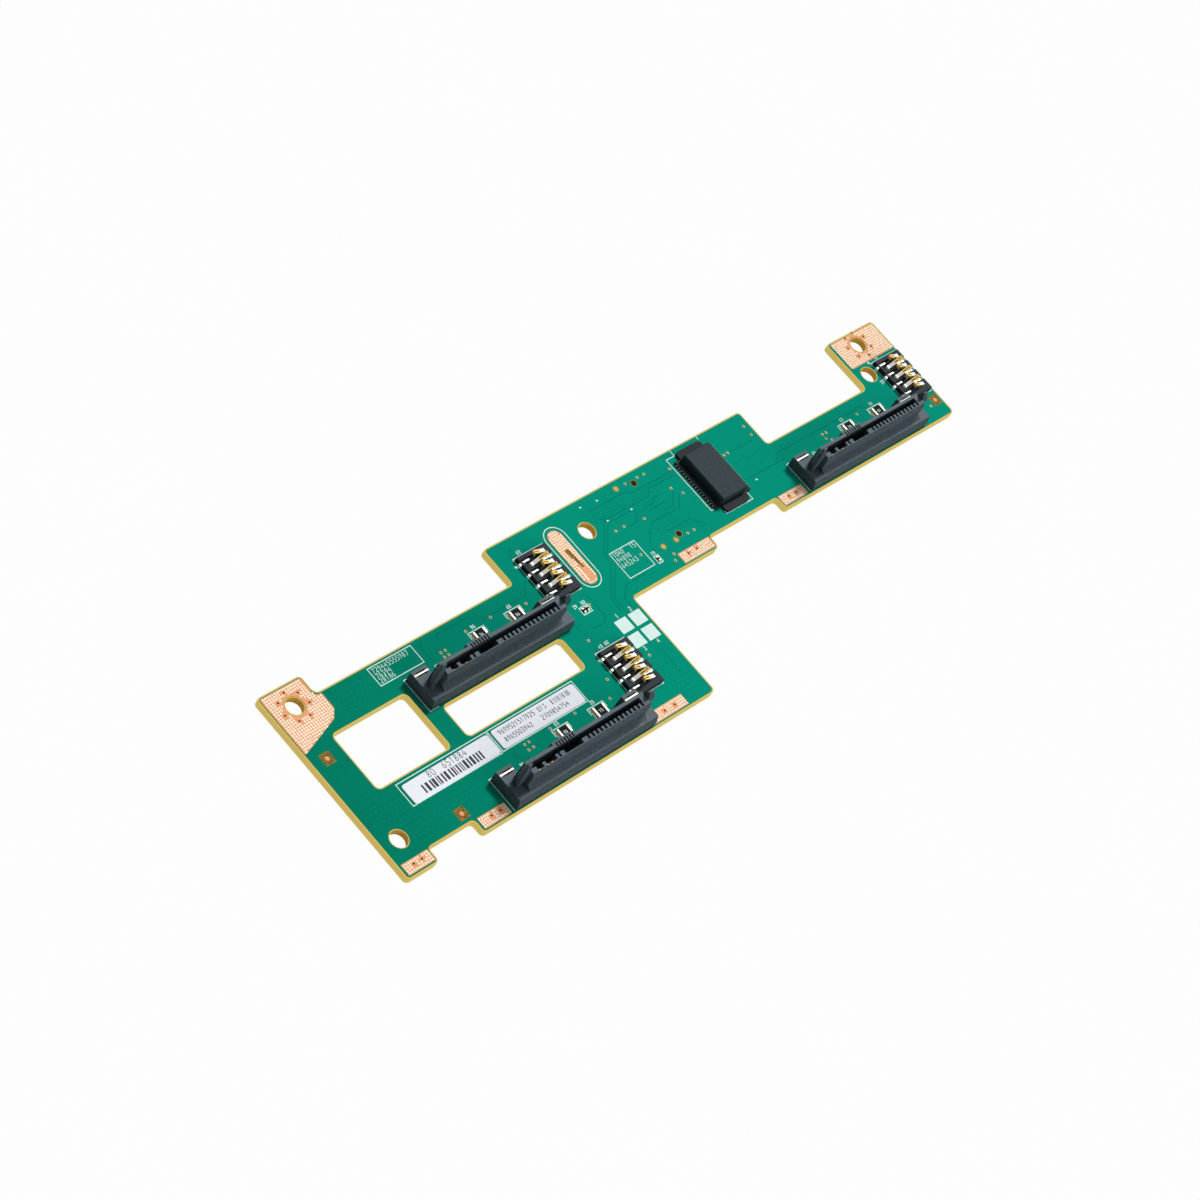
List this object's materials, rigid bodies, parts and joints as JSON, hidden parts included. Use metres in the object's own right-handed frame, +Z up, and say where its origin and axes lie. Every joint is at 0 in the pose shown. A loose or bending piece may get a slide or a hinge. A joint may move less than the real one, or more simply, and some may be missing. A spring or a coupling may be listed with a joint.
{
  "type": "drive backplane board",
  "caption": "Flat green circuit board with slotted drive connectors, spring contact rows, mounting holes and airflow windows.",
  "frame": {"origin": "underside of the board, under the middle of its bounding box", "axes": "+X along the board towards its far right tab, +Y towards the stepped far edge, +Z up from the component side"},
  "size_m": [0.2078, 0.0552, 0.0106],
  "materials": {
    "solder_mask": "semi-gloss",
    "bare_copper": "satin",
    "label_paper": "matt",
    "housing_plastic": "matt",
    "gold_contact": "polished",
    "tinned_metal": "satin",
    "chip_black": "semi-gloss",
    "connector_plastic": "matt",
    "cap_plastic": "satin"
  },
  "bodies": {
    "root": {"circuit_board": "solder_mask", "corner_lands": "bare_copper", "edge_lands": "bare_copper", "jumper_land": "bare_copper", "left_label": "label_paper", "right_label": "label_paper", "drive_housing_a": "housing_plastic", "power_contacts_a": "gold_contact", "signal_contacts_a": "gold_contact", "port_contacts_a": "gold_contact", "hold_downs_a": "tinned_metal", "spring_housing_a": "housing_plastic", "left_springs_a": "gold_contact", "right_springs_a": "gold_contact", "resistor_bodies_a": "chip_black", "resistor_ends_a": "tinned_metal", "drive_housing_b": "housing_plastic", "power_contacts_b": "gold_contact", "signal_contacts_b": "gold_contact", "port_contacts_b": "gold_contact", "hold_downs_b": "tinned_metal", "spring_housing_b": "housing_plastic", "left_springs_b": "gold_contact", "right_springs_b": "gold_contact", "resistor_bodies_b": "chip_black", "resistor_ends_b": "tinned_metal", "drive_housing_c": "housing_plastic", "power_contacts_c": "gold_contact", "signal_contacts_c": "gold_contact", "port_contacts_c": "gold_contact", "hold_downs_c": "tinned_metal", "spring_housing_c": "housing_plastic", "left_springs_c": "gold_contact", "right_springs_c": "gold_contact", "resistor_bodies_c": "chip_black", "resistor_ends_c": "tinned_metal", "small_chip_bodies": "chip_black", "small_chip_ends": "tinned_metal", "stack_housing": "connector_plastic", "stack_right_contacts": "tinned_metal", "stack_left_contacts": "tinned_metal", "pick_up_cap": "cap_plastic"}
  },
  "joints": []
}
